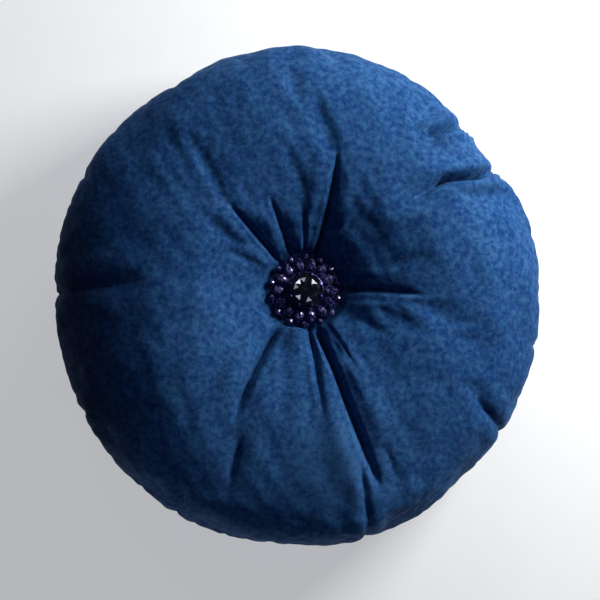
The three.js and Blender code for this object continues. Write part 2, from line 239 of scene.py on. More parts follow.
def fold(r, theta, spine, depth, width, ridges):
    """How far a fold moves the surface outwards, in mm, at each (r, theta)."""
    radii, degrees = np.array(spine, float).T
    across = r * wrap(theta - np.radians(np.interp(r, radii, degrees)))
    deep = curve(r, depth)
    valley = np.exp(-np.abs(across / width) ** 1.25)
    rolled = ridges[0] * np.exp(-(((across + 2.9 * width) / (2.0 * width)) ** 2))
    rolled = rolled + ridges[1] * np.exp(-(((across - 2.9 * width) / (2.0 * width)) ** 2))
    return deep * (rolled - valley)


def pucker(half, degrees, depth, width, reach):
    """A tuck drawn in by the edge seam: deepest at the seam, and gone after its reach, in mm."""
    across = half.r * wrap(half.theta - np.radians(degrees))
    fade = 1 - smoothstep(0.15 * reach, reach, half.to_seam)
    spread = width * (0.75 + 0.5 * half.to_seam / reach)
    side_rolls = 0.35 * np.exp(-((np.abs(across) / spread - 2.4) ** 2))
    return depth * fade * (side_rolls - np.exp(-np.abs(across / spread) ** 1.4))


# Long tucks from the edge: (degrees, depth, width, reach).
LONG_TUCKS = [
    (30.5, 2.2, 3.4, 60), (45.0, 2.0, 3.0, 54), (-34.0, 1.8, 3.4, 50),
    (-75.5, 1.6, 3.6, 54), (-119.5, 1.8, 3.4, 54), (180.0, 2.2, 4.0, 66),
    (122.0, 1.6, 3.6, 40), (93.0, 1.5, 3.4, 34), (-97.0, 1.6, 3.6, 38),
    (-12.0, 1.8, 3.6, 44), (152.0, 1.6, 3.6, 40), (-151.0, 1.8, 3.6, 48),
]
BACK_FOLDS = 11


def back_folds():
    """The back's folds, at seeded places and lengths."""
    random = np.random.default_rng(11)
    folds = []
    for k in range(BACK_FOLDS):
        degrees = 360 * k / BACK_FOLDS + random.uniform(-11, 11)
        length = random.uniform(34, 78)
        spine = [(20, degrees), (24 + length, degrees + random.uniform(-9, 9))]
        depth = [(20.5, 0), (28, random.uniform(4, 7)), (24 + 0.6 * length, 3.2), (28 + length, 0)]
        width = random.uniform(2.8, 3.8)
        folds.append((spine, depth, width, (random.uniform(0.2, 0.5), random.uniform(0.2, 0.5))))
    return folds


def edge_puckers(half):
    """The many small tucks that gather both panels at the edge seam. Both halves share their places."""
    random = np.random.default_rng(5)
    total = np.zeros_like(half.r * half.theta)
    degrees = 0.0
    while degrees < 360:
        degrees += random.uniform(3.0, 6.5)
        depth, width, reach = random.uniform(0.5, 1.7), random.uniform(1.7, 3.0), random.uniform(9, 30)
        share = random.uniform(0.5, 1.0, 2)[int(half.side > 0)]
        total += pucker(half, degrees, depth * share, width, reach)
    return total


# Where the stuffed edge stands out of a true circle, or in: (degrees, wide in degrees, mm outwards).
EDGE_SWELLS = [
    (41, 15, -4.2), (350, 36, -2.6), (22, 8, -0.8), (196, 16, -3.0),
    (179, 8, -1.6), (120, 6, -1.8), (311, 6, -2.2), (252, 9, 1.4),
    (285, 16, 1.2), (90, 26, 2.8), (150, 12, 0.6), (240, 8, 1.6),
    (36, 8, -3.6),
]
# How far the front's crown lies inside its mean circle, or outside: (degrees, wide in degrees, mm inwards).
CROWN_LEANS = [
    (176, 46, 19.0), (146, 22, 4.0), (98, 22, -12.0), (58, 26, 8.0),
    (-28, 20, 8.0), (-105, 48, -20.0), (-80, 14, -14.0),
]


def bumps(theta, table):
    """The sum of round bumps along the edge."""
    total = np.zeros_like(theta)
    for degrees, wide, height in table:
        total = total + height * np.exp(-((wrap(theta - np.radians(degrees)) / np.radians(wide)) ** 2))
    return total


def outline(theta):
    """How far the stuffed edge stands out of a true circle, in mm."""
    return 0.35 * waves(theta, 3, 5, 16) + bumps(theta, EDGE_SWELLS)


# Where uneven stuffing lifts the front: (degrees, wide in degrees, radius, reach, mm upwards).
SWELLINGS = [
    (228, 60, 50, 20, -4.5), (245, 45, 118, 30, 2.5), (-80, 18, 176, 22, 6.0), (48, 42, 45, 18, 3.0),
]


def uneven_stuffing(half):
    """How far uneven stuffing lifts the front, in mm."""
    total = np.zeros_like(half.r * half.theta)
    for degrees, wide, radius, reach, lift in SWELLINGS:
        share = np.exp(-((wrap(half.theta - np.radians(degrees)) / np.radians(wide)) ** 2))
        total = total + lift * share * np.exp(-(((half.r - radius) / reach) ** 2))
    return total * smoothstep(28, 38, half.r)


# ---- meshes from grids
def add_object(name, mesh):
    obj = bpy.data.objects.new(name, mesh)
    scene.collection.objects.link(obj)
    return obj


def mesh_from(name, points, faces, smooth=True):
    mesh = bpy.data.meshes.new(name)
    mesh.from_pydata([tuple(p) for p in np.asarray(points) * MM], [], faces)
    mesh.polygons.foreach_set("use_smooth", [smooth] * len(mesh.polygons))
    mesh.update()
    return add_object(name, mesh)


def ring_faces(first, second, spokes, flip=False):
    """Quads between two rings of vertices that start at these indices."""
    k = np.arange(spokes)
    n = (k + 1) % spokes
    quads = np.stack([first + k, second + k, second + n, first + n], 1)
    return (quads[:, ::-1] if flip else quads).tolist()


# ---- stuffing the cover: cloth simulation
SIM_FRAMES = 20
SHRUNK = 3.5  # the simulated cover starts this much inside the mean shape, and swells outwards
MOST_MOTION = 9.0  # how far the simulation may move a point
HOLD_STEPS = 20  # how many different weights the held group has
# The simulation starts with these shares of each fold and tuck. The sharp lines at their bottoms come after.
FOLD_SHARE, TUCK_SHARE, BROADER = 0.8, 0.7, 1.35
CRISP_FOLD, CRISP_TUCK = 0.42, 0.45  # of the depth, and of the width too
NARROWEST = 0.0105  # of the radius: about a spoke


def folds_and_tucks(half, fold_share, fold_width, tuck_share, tuck_width, narrowest=0.0):
    """How far the folds and long tucks move the surface outwards, at these shares of their sizes."""
    total = np.zeros_like(half.r * half.theta)
    for spine, depth, width, ridges in half.folds:
        width = np.maximum(width * fold_width, narrowest * half.r)
        total += fold_share * fold(half.r, half.theta, spine, depth, width, ridges)
    for degrees, depth, width, reach in LONG_TUCKS:
        total += tuck_share * pucker(half, degrees, depth, width * tuck_width, reach)
    return total


def broad_shape(half):
    """The folds and tucks as the start of the simulation has them: all but the sharpest creases."""
    return folds_and_tucks(half, FOLD_SHARE, BROADER, TUCK_SHARE, BROADER)


def crisp_creases(half):
    """The sharp line at the bottom of each fold and long tuck."""
    return folds_and_tucks(half, CRISP_FOLD, CRISP_FOLD, CRISP_TUCK, CRISP_TUCK, NARROWEST)


def held(half):
    """How firmly each point is held as the cover swells: by the buttons, the seam and the folds' bottoms."""
    hold = 1 - smoothstep(half.floor_r, half.floor_r + 10, half.r) + 0 * half.theta
    hold = np.maximum(hold, 0.8 * (1 - smoothstep(2, 7, half.to_seam)))
    return np.clip(np.maximum(hold, np.clip(-broad_shape(half) / 6, 0, 0.75)), 0, 1)


def cloth_faces(rings_f, rings_b):
    """Quads over both panels, which share the front's last ring, and a cap over each needle hole."""
    spokes, base = SIM_SPOKES, rings_f * SIM_SPOKES
    faces = []
    for i in range(rings_f - 1):
        faces += ring_faces(i * spokes, (i + 1) * spokes, spokes)
    for i in range(rings_b - 1):
        faces += ring_faces(base + i * spokes, base + (i + 1) * spokes, spokes, flip=True)
    faces += ring_faces(base + (rings_b - 1) * spokes, base - spokes, spokes, flip=True)
    faces.append(list(range(spokes)))
    faces.append([base + k for k in range(spokes - 1, -1, -1)])
    return faces


def add_cloth(obj, weights):
    """Makes the closed cover a cloth under pressure, held by these weights."""
    group = obj.vertex_groups.new(name="held")
    for step in range(HOLD_STEPS):
        low, high = step / HOLD_STEPS, (step + 1) / HOLD_STEPS
        chosen = np.nonzero((weights > low) & (weights <= high))[0]
        if len(chosen):
            group.add(chosen.tolist(), (low + high) / 2 if high < 1 else 1.0, "REPLACE")
    cloth = obj.modifiers.new("cloth", "CLOTH")
    settings = cloth.settings
    settings.quality = 6
    settings.mass = 0.25
    settings.tension_stiffness = settings.compression_stiffness = 12
    settings.shear_stiffness = 6
    settings.bending_stiffness = 1.2
    settings.shrink_min = -0.015
    settings.vertex_group_mass = group.name
    settings.pin_stiffness = 1.5
    settings.use_pressure = True
    settings.uniform_pressure_force = 4.5
    settings.effector_weights.gravity = 0
    cloth.point_cache.frame_start, cloth.point_cache.frame_end = 1, SIM_FRAMES


def simulate(front, back):
    """Swells both panels under pressure as one closed cloth. Returns each half's points, in mm."""
    starts, holds = [], []
    for half in (front, back):
        free = smoothstep(half.floor_r, half.floor_r + 30, half.r) * smoothstep(0, 16, half.to_seam)
        starts.append(half.surface(broad_shape(half) - SHRUNK * free))
        holds.append(held(half))
    rings_f, rings_b = len(starts[0]), len(starts[1]) - 1
    points = np.concatenate([starts[0].reshape(-1, 3), starts[1][:-1].reshape(-1, 3)])
    obj = mesh_from("cover_cloth", points, cloth_faces(rings_f, rings_b))
    add_cloth(obj, np.concatenate([holds[0].ravel(), holds[1][:-1].ravel()]))
    for number in range(1, SIM_FRAMES + 1):
        scene.frame_set(number)
    evaluated = obj.evaluated_get(bpy.context.evaluated_depsgraph_get()).data
    moved = np.zeros(len(points) * 3, np.float32)
    evaluated.vertices.foreach_get("co", moved)
    motion = moved.reshape(-1, 3).astype(float) / MM - points
    length = np.linalg.norm(motion, axis=1, keepdims=True)
    motion *= np.minimum(1, MOST_MOTION / np.maximum(length, 1e-9))
    moved = points + motion
    bpy.data.objects.remove(obj, do_unlink=True)
    scene.frame_set(1)
    base = rings_f * SIM_SPOKES
    front_points = moved[:base].reshape(rings_f, SIM_SPOKES, 3)
    back_points = moved[base:].reshape(rings_b, SIM_SPOKES, 3)
    return front_points, np.concatenate([back_points, front_points[-1:]])


# ---- the finished outer surface of each half
def to_grid(field, half):
    """A (ring, spoke) field carried to another grid of the same half."""
    rings, spokes = half.r.shape[0], half.theta.shape[1]
    at = np.linspace(0, len(field) - 1, rings)
    low = np.minimum(at.astype(int), len(field) - 2)
    part = (at - low)[:, None]
    field = field[low] * (1 - part) + field[low + 1] * part
    at = np.arange(spokes) * field.shape[1] / spokes
    low = at.astype(int)
    part = at - low
    field = field[:, low] * (1 - part) + field[:, (low + 1) % field.shape[1]] * part
    return blur(field, 3, 2)


def ripples(points, seed, shortest, longest, count=26):
    """A random smooth field over the points, about -1 to 1, with wavelengths in this range."""
    random = np.random.default_rng(seed)
    total = np.zeros(points.shape[:2])
    for _ in range(count):
        direction = random.normal(size=3)
        direction *= 2 * np.pi / (random.uniform(shortest, longest) * np.linalg.norm(direction))
        total += np.sin(points @ direction + random.uniform(0, 2 * np.pi))
    return total / math.sqrt(count / 2)


class Panel:
    """The outside of one finished half, and what lies inside it."""

    def __init__(self, side, sim_half, sim_points):
        half = self.half = Half(side, SPOKES, SPACING)
        inner = FLOOR_R + 2 if side > 0 else BACK_FLOOR_R
        free = smoothstep(inner, inner + 26, half.r) * smoothstep(0, 14, half.to_seam)
        out = broad_shape(half)
        along = around = 0.0
        if sim_points is not None:
            moved = sim_points - sim_half.mean
            swell = (moved * sim_half.normal).sum(2) - broad_shape(sim_half)
            swell = swell - 0.7 * swell.mean(1, keepdims=True)
            out = out + to_grid(swell, half) * free
            along = to_grid((moved * sim_half.along).sum(2), half) * free * 0.8
            around = to_grid((moved * sim_half.around).sum(2), half) * free * 0.8
        out = out + crisp_creases(half) + edge_puckers(half)
        near_button = 1 - smoothstep(inner, inner + 7, half.r)
        out = out * (1 - near_button) + np.minimum(out, 0) * near_button
        out = out + free * (0.5 * ripples(half.mean, 21, 30, 70) + 0.18 * ripples(half.mean, 22, 9, 20))
        self.out = out
        # Painted shade: how far the velvet's colour is darkened in the deepest creases, 0 to 1.
        self.crease_shade = np.clip((-crisp_creases(half) - 2.6) / 2.4, 0, 1)
        at_rim = smoothstep(115, 195, half.r)
        self.edge_shift = half.radial * (outline(half.theta) * at_rim)[..., None]
        self.edge_shift += at_rim[..., None] * np.array([-1.2, -1.2, 0.0])
        wave = 0.9 * waves(half.theta, 9, 3, 14) * (1 - smoothstep(0, 26, half.to_seam))
        self.edge_shift[..., 2] += wave
        crown = smoothstep(40, 100, half.r) * smoothstep(0, 70, half.to_seam)
        if side > 0:
            at_crown = smoothstep(60, 125, half.r) * smoothstep(10, 90, half.to_seam)
            self.edge_shift -= half.radial * (bumps(half.theta, CROWN_LEANS) * at_crown)[..., None]
            self.edge_shift[..., 2] += uneven_stuffing(half)
        self.edge_shift[..., 2] += side * 1.6 * waves(half.theta, 14, 1, 4) * crown
        self.points = half.surface(out, along, around) + self.edge_shift
        self.points[..., 2] = np.maximum(self.points[..., 2], 0)

    def within(self, depth):
        """A smooth surface that lies at least this far inside the panel, on the same grid."""
        low = self.out
        for _ in range(4):
            low = np.minimum(low, np.minimum(np.roll(low, 1, 1), np.roll(low, -1, 1)))
            padded = np.concatenate([low[:1], low, low[-1:]])
            low = np.minimum(low, np.minimum(padded[:-2], padded[2:]))
        low = blur(low, 4, 4) - 0.4
        points = self.half.surface(low - depth) + self.edge_shift
        points[..., 2] = np.maximum(points[..., 2], depth)
        return points


def half_pair():
    front, back = Half(1, SIM_SPOKES, SIM_SPACING), Half(-1, SIM_SPOKES, SIM_SPACING)
    front_points = back_points = None
    front_points, back_points = simulate(front, back)
    return Panel(1, front, front_points), Panel(-1, back, back_points)


front_panel, back_panel = half_pair()


# ---- closed bodies
def closed_rings(name, rings, smooth=True, capped=False):
    """A closed body from rings of points. The last ring joins the first, or both are capped."""
    rings = [np.asarray(r, float) for r in rings]
    spokes = len(rings[0])
    faces = []
    for i in range(len(rings) - (1 if capped else 0)):
        faces += ring_faces(i * spokes, (i + 1) % len(rings) * spokes, spokes)
    points = np.concatenate(rings)
    q = points[np.array(faces)]
    volume = np.einsum("ij,ij->i", q[:, 0], np.cross(q[:, 1], q[:, 2])).sum()
    volume += np.einsum("ij,ij->i", q[:, 0], np.cross(q[:, 2], q[:, 3])).sum()
    if capped:
        faces.append(list(range(spokes)))
        faces.append([(len(rings) - 1) * spokes + k for k in range(spokes - 1, -1, -1)])
    if volume < 0:
        faces = [f[::-1] for f in faces]
    return mesh_from(name, points, faces, smooth)


def level_ring(radius, theta, z):
    """Points round +Z at one height."""
    return np.stack([radius * np.cos(theta), radius * np.sin(theta), np.full(len(theta), float(z))], 1)


def turned(name, profile, spokes=96, lobes=None, smooth=True, wobble=0.0):
    """A closed body turned about +Z from a closed profile of [radius, height] points."""
    theta = np.linspace(0, 2 * np.pi, spokes, endpoint=False)
    rings = []
    for k, (r, z) in enumerate(profile):
        radius = np.full(spokes, float(r))
        if lobes and r > lobes[2]:
            radius += lobes[1] * np.cos(lobes[0] * theta)
        radius += wobble * waves(theta, 40 + k, 8, 30)
        rings.append(level_ring(radius, theta, z))
    return closed_rings(name, rings, smooth)


def across(path, start, closed=False):
    """Two directions square to a path at each of its points, carried along it without twist."""
    tangent = np.roll(path, -1, 0) - np.roll(path, 1, 0) if closed else np.gradient(path, axis=0)
    tangent /= np.linalg.norm(tangent, axis=1, keepdims=True)
    side = np.cross(tangent[0], start)
    frames = []
    for t in tangent:
        side = side - t * (side @ t)
        side /= np.linalg.norm(side)
        frames.append((side, np.cross(t, side)))
    return frames


def tube(path, radius, sides=8, closed=False):
    """Points and faces of a round tube along a path, with capped ends unless it is closed."""
    path = np.asarray(path, float)
    points = []
    for p, (side, other) in zip(path, across(path, [0.31, 0.22, 0.92], closed)):
        for k in range(sides):
            a = 2 * np.pi * k / sides
            points.append(p + radius * (math.cos(a) * side + math.sin(a) * other))
    faces = []
    for i in range(len(path) - (0 if closed else 1)):
        faces += ring_faces(i * sides, (i + 1) % len(path) * sides, sides, flip=True)
    if not closed:
        faces.append(list(range(sides - 1, -1, -1)))
        faces.append([(len(path) - 1) * sides + k for k in range(sides)])
    return np.array(points), faces


def joined_tubes(name, tubes):
    points, faces, base = [], [], 0
    for p, f in tubes:
        points.append(p)
        faces += [[base + k for k in face] for face in f]
        base += len(p)
    return mesh_from(name, np.concatenate(points), faces)


ROPE_STEPS = 2.2  # for each mm of its length


def rope(path, radius, plies=2, pitch=3.2):
    """Strands laid round a path, as tubes."""
    path = np.asarray(path, float)
    length = np.concatenate([[0], np.cumsum(np.linalg.norm(np.diff(path, axis=0), axis=1))])
    at = np.linspace(0, length[-1], max(8, int(length[-1] * ROPE_STEPS)))
    line = resampled(path, length, at)
    frames = across(line, [0.31, 0.92, 0.22])
    ply_radius = radius * (0.52 if plies == 2 else 0.46)
    tubes = []
    for ply in range(plies):
        a = 2 * np.pi * (at / pitch + ply / plies)
        offset = radius - ply_radius
        strand = []
        for p, k, (side, other) in zip(line, a, frames):
            strand.append(p + offset * (math.cos(k) * side + math.sin(k) * other))
        tubes.append(tube(strand, ply_radius, 7))
    return tubes


def object_from(bm, name):
    mesh = bpy.data.meshes.new(name)
    bm.to_mesh(mesh)
    bm.free()
    return add_object(name, mesh)


def cut_stone(name, points, bevel):
    """A facetted stone: the hull of its points, with its edges just broken."""
    bm = bmesh.new()
    for p in points:
        bm.verts.new(Vector(p) * MM)
    hull = bmesh.ops.convex_hull(bm, input=bm.verts)
    inside = [v for v in hull["geom_interior"] if isinstance(v, bmesh.types.BMVert)]
    bmesh.ops.delete(bm, geom=inside, context="VERTS")
    bmesh.ops.dissolve_limit(bm, angle_limit=math.radians(1.5), verts=bm.verts, edges=bm.edges)
    bmesh.ops.bevel(bm, geom=list(bm.edges), offset=bevel * MM, segments=1, affect="EDGES")
    bmesh.ops.recalc_face_normals(bm, faces=bm.faces)
    return object_from(bm, name)


# ---- materials
class Nodes:
    """A short way to write a node material."""

    def __init__(self, name):
        self.material = bpy.data.materials.new(name)
        self.material.use_nodes = True
        self.tree = self.material.node_tree
        self.shader = self.tree.nodes["Principled BSDF"]
        self.coord = self.add("ShaderNodeTexCoord").outputs["Object"]

    def add(self, kind, inputs=None, **props):
        node = self.tree.nodes.new(kind)
        for key, value in props.items():
            setattr(node, key, value)
        for key, value in (inputs or {}).items():
            self.link(value, node.inputs[key])
        return node

    def link(self, value, socket):
        if isinstance(value, bpy.types.NodeSocket):
            self.tree.links.new(value, socket)
        else:
            socket.default_value = value

    def set(self, **values):
        for key, value in values.items():
            self.link(value, self.shader.inputs[key.replace("_", " ")])

    def noise(self, scale, detail=2.0, rough=0.5, distort=0.0, coord=None):
        inputs = {"Vector": coord or self.coord, "Scale": scale, "Detail": detail}
        inputs.update({"Roughness": rough, "Distortion": distort})
        return self.add("ShaderNodeTexNoise", inputs).outputs["Fac"]

    def wave(self, scale, direction, distortion):
        inputs = {"Vector": self.coord, "Scale": scale, "Distortion": distortion}
        return self.add("ShaderNodeTexWave", inputs, bands_direction=direction).outputs["Fac"]

    def math(self, operation, a, b=0.0):
        return self.add("ShaderNodeMath", {0: a, 1: b}, operation=operation).outputs[0]

    def span(self, value, low, high, to_low=0.0, to_high=1.0):
        inputs = {"Value": value, "From Min": low, "From Max": high, "To Min": to_low, "To Max": to_high}
        return self.add("ShaderNodeMapRange", inputs).outputs[0]

    def ramp(self, value, *stops):
        node = self.add("ShaderNodeValToRGB", {"Fac": value})
        elements = node.color_ramp.elements
        while len(elements) < len(stops):
            elements.new(0.5)
        for element, (at, color) in zip(elements, stops):
            element.position = at
            element.color = (*color, 1)
        return node.outputs["Color"]

    def mix(self, factor, a, b, blend="MIX"):
        node = self.add("ShaderNodeMix", data_type="RGBA", blend_type=blend)
        for value, socket in ((factor, node.inputs[0]), (a, node.inputs[6]), (b, node.inputs[7])):
            self.link((*value, 1) if isinstance(value, tuple) and len(value) == 3 else value, socket)
        return node.outputs[2]

    def along(self, x, y):
        """How far each point lies in a level direction, in metres."""
        parts = self.add("ShaderNodeSeparateXYZ", {"Vector": self.coord}).outputs
        return self.math("ADD", self.math("MULTIPLY", parts["X"], x), self.math("MULTIPLY", parts["Y"], y))

    def bump(self, height, strength, distance, onto=None):
        inputs = {"Height": height, "Strength": strength, "Distance": distance * MM}
        if onto:
            inputs["Normal"] = onto
        return self.add("ShaderNodeBump", inputs).outputs["Normal"]


def velvet_material():
    """Short-pile velvet: dark where the pile stands, lighter where it lies over, with random crushed
    patches. Painted light and shade go into its colour: lighter towards the bottom and in a pool near the
    front's lower edge, darker at the far left and towards the lower right, and near-black painted shade in
    the deepest creases and along the far left rim.
    """
    m = Nodes("blue_velvet")
    clumps = m.noise(230, 2.0, 0.55)
    tufts = m.noise(560, 1.0, 0.5)
    hue = m.noise(150, 2.0, 0.6)
    crushed = m.noise(24, 2.0, 0.5, 0.6)
    # Painted light: a pool of light painted round this point near the front's lower edge, in metres.
    painted_light_pool = m.add("ShaderNodeVectorMath", {0: m.coord, 1: (0.03, -0.138, 0.115)}, operation="DISTANCE")
    pile_and_painted_light = m.math("ADD", m.math("MULTIPLY", clumps, 0.8), m.math("MULTIPLY", tufts, 0.2))
    # The crushed patches are the velvet's own random tone. The other four terms are painted light and shade:
    # lighter towards the bottom, darker at the far left, the painted pool of light, and darker towards the
    # lower right.
    for tone_and_painted_light in (
        m.span(crushed, 0.3, 0.7, -0.035, 0.035),
        m.span(m.along(-0.34, -0.94), 0.02, 0.15, 0.0, 0.055),
        m.span(m.along(1.0, 0.0), -0.19, -0.12, -0.06, 0.0),
        m.span(painted_light_pool.outputs["Value"], 0.01, 0.065, 0.09, 0.0),
        m.span(m.along(0.91, -0.42), 0.08, 0.19, 0.0, -0.05),
    ):
        pile_and_painted_light = m.math("ADD", pile_and_painted_light, tone_and_painted_light)
    teal = [(0.001, 0.029, 0.107), (0.0070, 0.053, 0.147), (0.016, 0.084, 0.194)]
    violet = [(0.002, 0.024, 0.117), (0.0105, 0.046, 0.154), (0.024, 0.072, 0.202)]
    shades = [m.ramp(pile_and_painted_light, *zip((0.34, 0.5, 0.66), colors)) for colors in (teal, violet)]
    color = m.mix(m.span(hue, 0.3, 0.7), *shades)
    # Painted shade: the velvet's colour turns near-black in the deepest creases and along the far left rim.
    crease_shade = m.add("ShaderNodeAttribute", attribute_name="crease_shade").outputs["Fac"]
    painted_shade = m.math("MAXIMUM", crease_shade, m.span(m.along(-0.985, -0.174), 0.135, 0.18, 0.0, 0.8))
    color = m.mix(painted_shade, color, (0.0005, 0.005, 0.022))
    m.set(Base_Color=color, Roughness=m.span(pile_and_painted_light, 0.35, 0.65, 0.95, 0.8))
    m.set(Sheen_Weight=0.1, Sheen_Roughness=0.4, Sheen_Tint=(0.16, 0.42, 0.8, 1), Specular_IOR_Level=0.12)
    m.set(Normal=m.bump(tufts, 0.2, 0.5, m.bump(clumps, 0.3, 0.8)))
    return m.material


def woven_material(name, dark, light, threads, rough):
    """Plain weave: threads over and under each other, with slubs and uneven dye."""
    m = Nodes(name)
    warp, weft = m.wave(threads, "X", 0.6), m.wave(threads, "Y", 0.6)
    weave = m.math("MULTIPLY", warp, weft)
    slub = m.noise(160, 3.0, 0.6)
    color = m.mix(m.math("MULTIPLY", weave, m.span(slub, 0.3, 0.7, 0.6, 1.0)), dark, light)
    m.set(Base_Color=color, Roughness=m.span(slub, 0.3, 0.7, rough - 0.06, rough))
    m.set(Sheen_Weight=0.2, Sheen_Roughness=0.5, Normal=m.bump(weave, 0.5, 0.2))
    return m.material


def fibre_material(name, dark, light, scale, rough, sheen):
    """Matted or spun fibres: fine stretched noise over soft clumps."""
    m = Nodes(name)
    stretched = m.add("ShaderNodeMapping", {"Vector": m.coord, "Scale": (1.0, 0.25, 0.6)}).outputs[0]
    hairs = m.noise(scale * 6, 4.0, 0.65, 1.5, stretched)
    clumps = m.noise(scale, 3.0, 0.5, 0.5)
    fac = m.math("ADD", m.math("MULTIPLY", hairs, 0.6), m.math("MULTIPLY", clumps, 0.4))
    color = m.ramp(fac, (0.35, dark), (0.62, light))
    m.set(Base_Color=color, Roughness=m.span(hairs, 0.3, 0.7, rough - 0.1, rough))
    m.set(Sheen_Weight=sheen, Sheen_Roughness=0.4, Normal=m.bump(fac, 0.6, 0.3))
    return m.material


def metal_material(name, base, worn, roughness):
    """Plated or bare metal: uneven roughness, faint scratches, and wear in patches."""
    m = Nodes(name)
    stretched = m.add("ShaderNodeMapping", {"Vector": m.coord, "Scale": (1.0, 9.0, 1.0)}).outputs[0]
    scratches = m.noise(700, 3.0, 0.6, 0.0, stretched)
    patches = m.noise(180, 3.0, 0.6, 0.4)
    color = m.mix(m.span(patches, 0.5, 0.72), base, worn)
    m.set(Base_Color=color, Metallic=1.0)
    m.set(Roughness=m.span(scratches, 0.3, 0.7, roughness * 0.75, roughness * 1.5))
    m.set(Normal=m.bump(scratches, 0.12, 0.05))
    return m.material


def jewel_material(name, deep, bright, painted_glint, roughness, coat):
    """A cut stone: colour that deepens in clouds, painted glints as scattered bright cells in its colour,
    and faint polishing marks.
    """
    m = Nodes(name)
    clouds = m.noise(260, 2.0, 0.5, 0.8)
    marks = m.noise(1500, 2.0, 0.6)
    # Painted glints: scattered cells of the stone's colour turn bright, standing in for reflections.
    painted_glint_cells = m.add("ShaderNodeTexVoronoi", {"Vector": m.coord, "Scale": 520.0}).outputs["Color"]
    color = m.mix(m.span(painted_glint_cells, 0.58, 0.78), m.mix(m.span(clouds, 0.35, 0.65), deep, bright), painted_glint)
    m.set(Base_Color=color)
    m.set(Roughness=m.span(marks, 0.3, 0.7, roughness * 0.6, roughness * 1.4))
    m.set(Coat_Weight=coat, Coat_Roughness=0.03, Specular_IOR_Level=0.8, Specular_Tint=(0.82, 0.78, 1.0, 1))
    m.set(Normal=m.bump(marks, 0.05, 0.02))
    return m.material


# Each stone's colours: deep, bright, and the colour of its painted glints.
INDIGO_COLORS = (0.003, 0.002, 0.024), (0.011, 0.007, 0.058), (0.095, 0.085, 0.20)
BLACK_COLORS = (0.001, 0.001, 0.002), (0.003, 0.003, 0.004), (0.010, 0.010, 0.012)
MATERIALS = {
    "velvet": velvet_material(),
    "calico": woven_material("calico", (0.50, 0.46, 0.38), (0.82, 0.78, 0.68), 420, 0.95),
    "fibre": fibre_material("hollow_fibre", (0.62, 0.61, 0.58), (0.92, 0.91, 0.88), 60, 1.0, 0.3),
    "navy_thread": fibre_material("navy_thread", (0.008, 0.018, 0.05), (0.03, 0.07, 0.16), 500, 0.8, 0.3),
    "white_thread": fibre_material("white_thread", (0.5, 0.47, 0.4), (0.8, 0.77, 0.68), 500, 0.85, 0.2),
    "twine": fibre_material("waxed_twine", (0.012, 0.02, 0.04), (0.04, 0.07, 0.13), 420, 0.75, 0.2),
    "felt": fibre_material("dark_felt", (0.003, 0.002, 0.020), (0.013, 0.011, 0.062), 260, 1.0, 0.4),
    "gunmetal": metal_material("gunmetal", (0.048, 0.038, 0.14), (0.14, 0.12, 0.26), 0.30),
    "aluminium": metal_material("aluminium", (0.62, 0.63, 0.65), (0.75, 0.76, 0.77), 0.36),
    "indigo_jewel": jewel_material("indigo_stone", *INDIGO_COLORS, 0.14, 0.0),
    "black_jewel": jewel_material("black_stone", *BLACK_COLORS, 0.04, 0.6),
}


def finish(obj, body, slot, *nodes):
    """Gives a new piece its slot's material and its body, and hides the CAD nodes it stands for."""
    obj.data.materials.append(MATERIALS[slot])
    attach(obj, body)
    if nodes:
        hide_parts(*nodes)
    return obj


def dress(node, material):
    """Gives a CAD node that stays a finished material."""
    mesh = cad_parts[node].data
    mesh.materials.clear()
    mesh.materials.append(MATERIALS[material])


# ---- velvet cover
def cover_panel(name, panel):
    """One velvet panel with its thickness, and its allowance turned in behind the edge seam."""
    side = panel.half.side
    lining = panel.within(VELVET_THICK)
    keep = [i for i in range(0, len(lining), 5) if panel.half.to_seam[i, 0] > 9]
    valley = panel.points[-1]
    inward = drawn_in(valley, 192.0 / 198.0)
    thick = np.array([0, 0, side * VELVET_THICK])
    rings = [*panel.points, inward, inward + thick, drawn_in(valley, 0.985) + thick]
    rings += [lining[i] for i in reversed(keep)]
    obj = closed_rings(name, rings)
    # The crease shade is stored on the velvet so that its colour can read it as painted shade.
    shade = np.zeros(len(obj.data.vertices), np.float32)
    shade[: panel.crease_shade.size] = panel.crease_shade.ravel()
    obj.data.attributes.new("crease_shade", "FLOAT", "POINT").data.foreach_set("value", shade)
    return obj


PANELS = {"front": front_panel, "back": back_panel}
for side, panel in PANELS.items():
    cover = finish(cover_panel(f"{side}_velvet", panel), "cushion", "velvet", f"{side}_cover")


def seam_line(radius, z_out=0.0):
    """The edge seam's line at a radius, following its waver."""
    valley = (front_panel.points[-1] + back_panel.points[-1]) / 2
    return drawn_in(valley, radius / (RADIUS - SEAM_VALLEY)) + np.array([0, 0, z_out])


def running_stitch(name, radius, wire, stitch, sway):
    """A closed thread that sways up and down along a seam."""
    line = seam_line(radius)
    length = 2 * np.pi * radius
    phase = np.linspace(0, 2 * np.pi * round(length / (2 * stitch)), len(line), endpoint=False)
    line[:, 2] += sway * np.sin(phase)
    points, faces = tube(line, wire, 6, closed=True)
    return mesh_from(name, points, faces)


edge_stitching = running_stitch("edge_stitching", 195.6, 0.22, 2.6, 0.06)
finish(edge_stitching, "cushion", "navy_thread", "edge_seam_thread")


